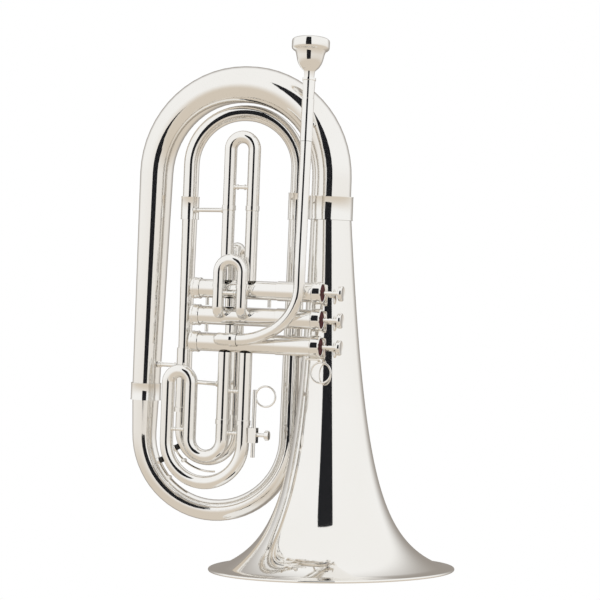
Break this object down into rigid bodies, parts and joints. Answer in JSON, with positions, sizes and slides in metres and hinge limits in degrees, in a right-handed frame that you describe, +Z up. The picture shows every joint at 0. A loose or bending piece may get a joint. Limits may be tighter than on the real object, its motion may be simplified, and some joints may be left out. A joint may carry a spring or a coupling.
{
  "type": "marching baritone",
  "caption": "Bell-front brass horn with piston valves, pull slides, water keys, finger rings and a cup mouthpiece, standing on its bell rim.",
  "frame": {"origin": "bottom centre of the bounding box, on the surface that the bell rim stands on", "axes": "+Z up along the bell's axis, +X towards the finger buttons, -Y towards the slides' front side"},
  "size_m": [0.36, 0.2618, 0.5641],
  "materials": {
    "silver": "polished silver plate on brass",
    "felt": "dark maroon felt",
    "cork": "matt black",
    "steel": "spring steel"
  },
  "bodies": {
    "frame": {"bell": "silver", "bell_ferrule": "silver", "top_bow": "silver", "left_ferrule": "silver", "bottom_bow": "silver", "right_ferrule": "silver", "inner_bow": "silver", "inner_ferrule": "silver", "inner_leg": "silver", "tuning_sleeve_left": "silver", "tuning_sleeve_right": "silver", "exit_crook": "silver", "leadpipe": "silver", "mouthpiece_receiver": "silver", "leadpipe_ferrule": "silver", "leadpipe_elbow": "silver", "first_sleeve_left": "silver", "first_sleeve_right": "silver", "second_slide_sleeves": "silver", "third_slide_sleeves": "silver", "stay_inner_leg_first_slide": "silver", "stay_big_tube_inner_leg": "silver", "stay_inner_leg_third_slide": "silver", "stay_valves_riser": "silver", "stay_riser_bell": "silver", "stay_leadpipe_top_bow": "silver", "fixed_finger_ring": "silver", "valve_casing_1": "silver", "top_cap_1": "silver", "bottom_cap_1": "silver", "valve_felt_1": "felt", "valve_spring_1": "steel", "valve_casing_2": "silver", "top_cap_2": "silver", "bottom_cap_2": "silver", "valve_felt_2": "felt", "valve_spring_2": "steel", "valve_casing_3": "silver", "top_cap_3": "silver", "bottom_cap_3": "silver", "valve_felt_3": "felt", "valve_spring_3": "steel"},
    "valve_1": {"piston_1": "silver", "finger_button_1": "silver"},
    "valve_2": {"piston_2": "silver", "finger_button_2": "silver"},
    "valve_3": {"piston_3": "silver", "finger_button_3": "silver"},
    "first_slide": {"first_slide": "silver"},
    "second_slide": {"second_slide": "silver"},
    "third_slide": {"third_slide": "silver", "ring_clamp": "silver"},
    "tuning_slide": {"tuning_slide": "silver"},
    "mouthpiece": {"mouthpiece": "silver"},
    "finger_ring": {"ring_rod": "silver"},
    "thumb_screw": {"thumb_screw": "silver"},
    "tuning_water_key": {"tuning_water_key_lever": "silver", "tuning_water_key_cork": "cork"},
    "third_water_key": {"third_water_key_lever": "silver", "third_water_key_cork": "cork"}
  },
  "joints": [
    {"name": "valve_1_press", "type": "slide", "parent": "frame", "child": "valve_1", "axis": [-0.9992, 0, 0.0401], "range_m": [0, 0.0147], "stiffness_N_per_m": 200, "springref_m": -0.012, "deforming": ["valve_spring_1"]},
    {"name": "valve_2_press", "type": "slide", "parent": "frame", "child": "valve_2", "axis": [-0.9992, 0, 0.0401], "range_m": [0, 0.0147], "stiffness_N_per_m": 200, "springref_m": -0.012, "deforming": ["valve_spring_2"]},
    {"name": "valve_3_press", "type": "slide", "parent": "frame", "child": "valve_3", "axis": [-0.9992, 0, 0.0401], "range_m": [0, 0.0147], "stiffness_N_per_m": 200, "springref_m": -0.012, "deforming": ["valve_spring_3"]},
    {"name": "first_slide_pull", "type": "slide", "parent": "frame", "child": "first_slide", "axis": [0.0401, 0, 0.9992], "range_m": [0, 0.05]},
    {"name": "second_slide_pull", "type": "slide", "parent": "frame", "child": "second_slide", "axis": [0.0401, 0, 0.9992], "range_m": [0, 0.015]},
    {"name": "third_slide_pull", "type": "slide", "parent": "frame", "child": "third_slide", "axis": [-0.0401, 0, -0.9992], "range_m": [0, 0.045]},
    {"name": "tuning_slide_pull", "type": "slide", "parent": "frame", "child": "tuning_slide", "axis": [-0.0401, 0, -0.9992], "range_m": [0, 0.035]},
    {"name": "mouthpiece_pull", "type": "slide", "parent": "frame", "child": "mouthpiece", "axis": [0.0123, 0.1293, 0.9915], "range_m": [0, 0.02]},
    {"name": "finger_ring_slide", "type": "slide", "parent": "third_slide", "child": "finger_ring", "axis": [0.0401, 0, 0.9992], "range_m": [-0.008, 0.01]},
    {"name": "thumb_screw_turn", "type": "hinge", "parent": "third_slide", "child": "thumb_screw", "pos_m": [-0.02079, -0.0435, 0.14461], "axis": [0.9992, 0, -0.0401], "continuous": true},
    {"name": "tuning_water_key_turn", "type": "hinge", "parent": "tuning_slide", "child": "tuning_water_key", "pos_m": [-0.1136, -0.008, 0.11415], "axis": [0, -1, 0], "range_deg": [0, 8], "stiffness_Nm_per_rad": 0.05, "springref_deg": -8.59},
    {"name": "third_water_key_turn", "type": "hinge", "parent": "third_slide", "child": "third_water_key", "pos_m": [-0.11793, -0.0435, 0.09812], "axis": [0, -1, 0], "range_deg": [0, 8], "stiffness_Nm_per_rad": 0.05, "springref_deg": -8.59}
  ]
}
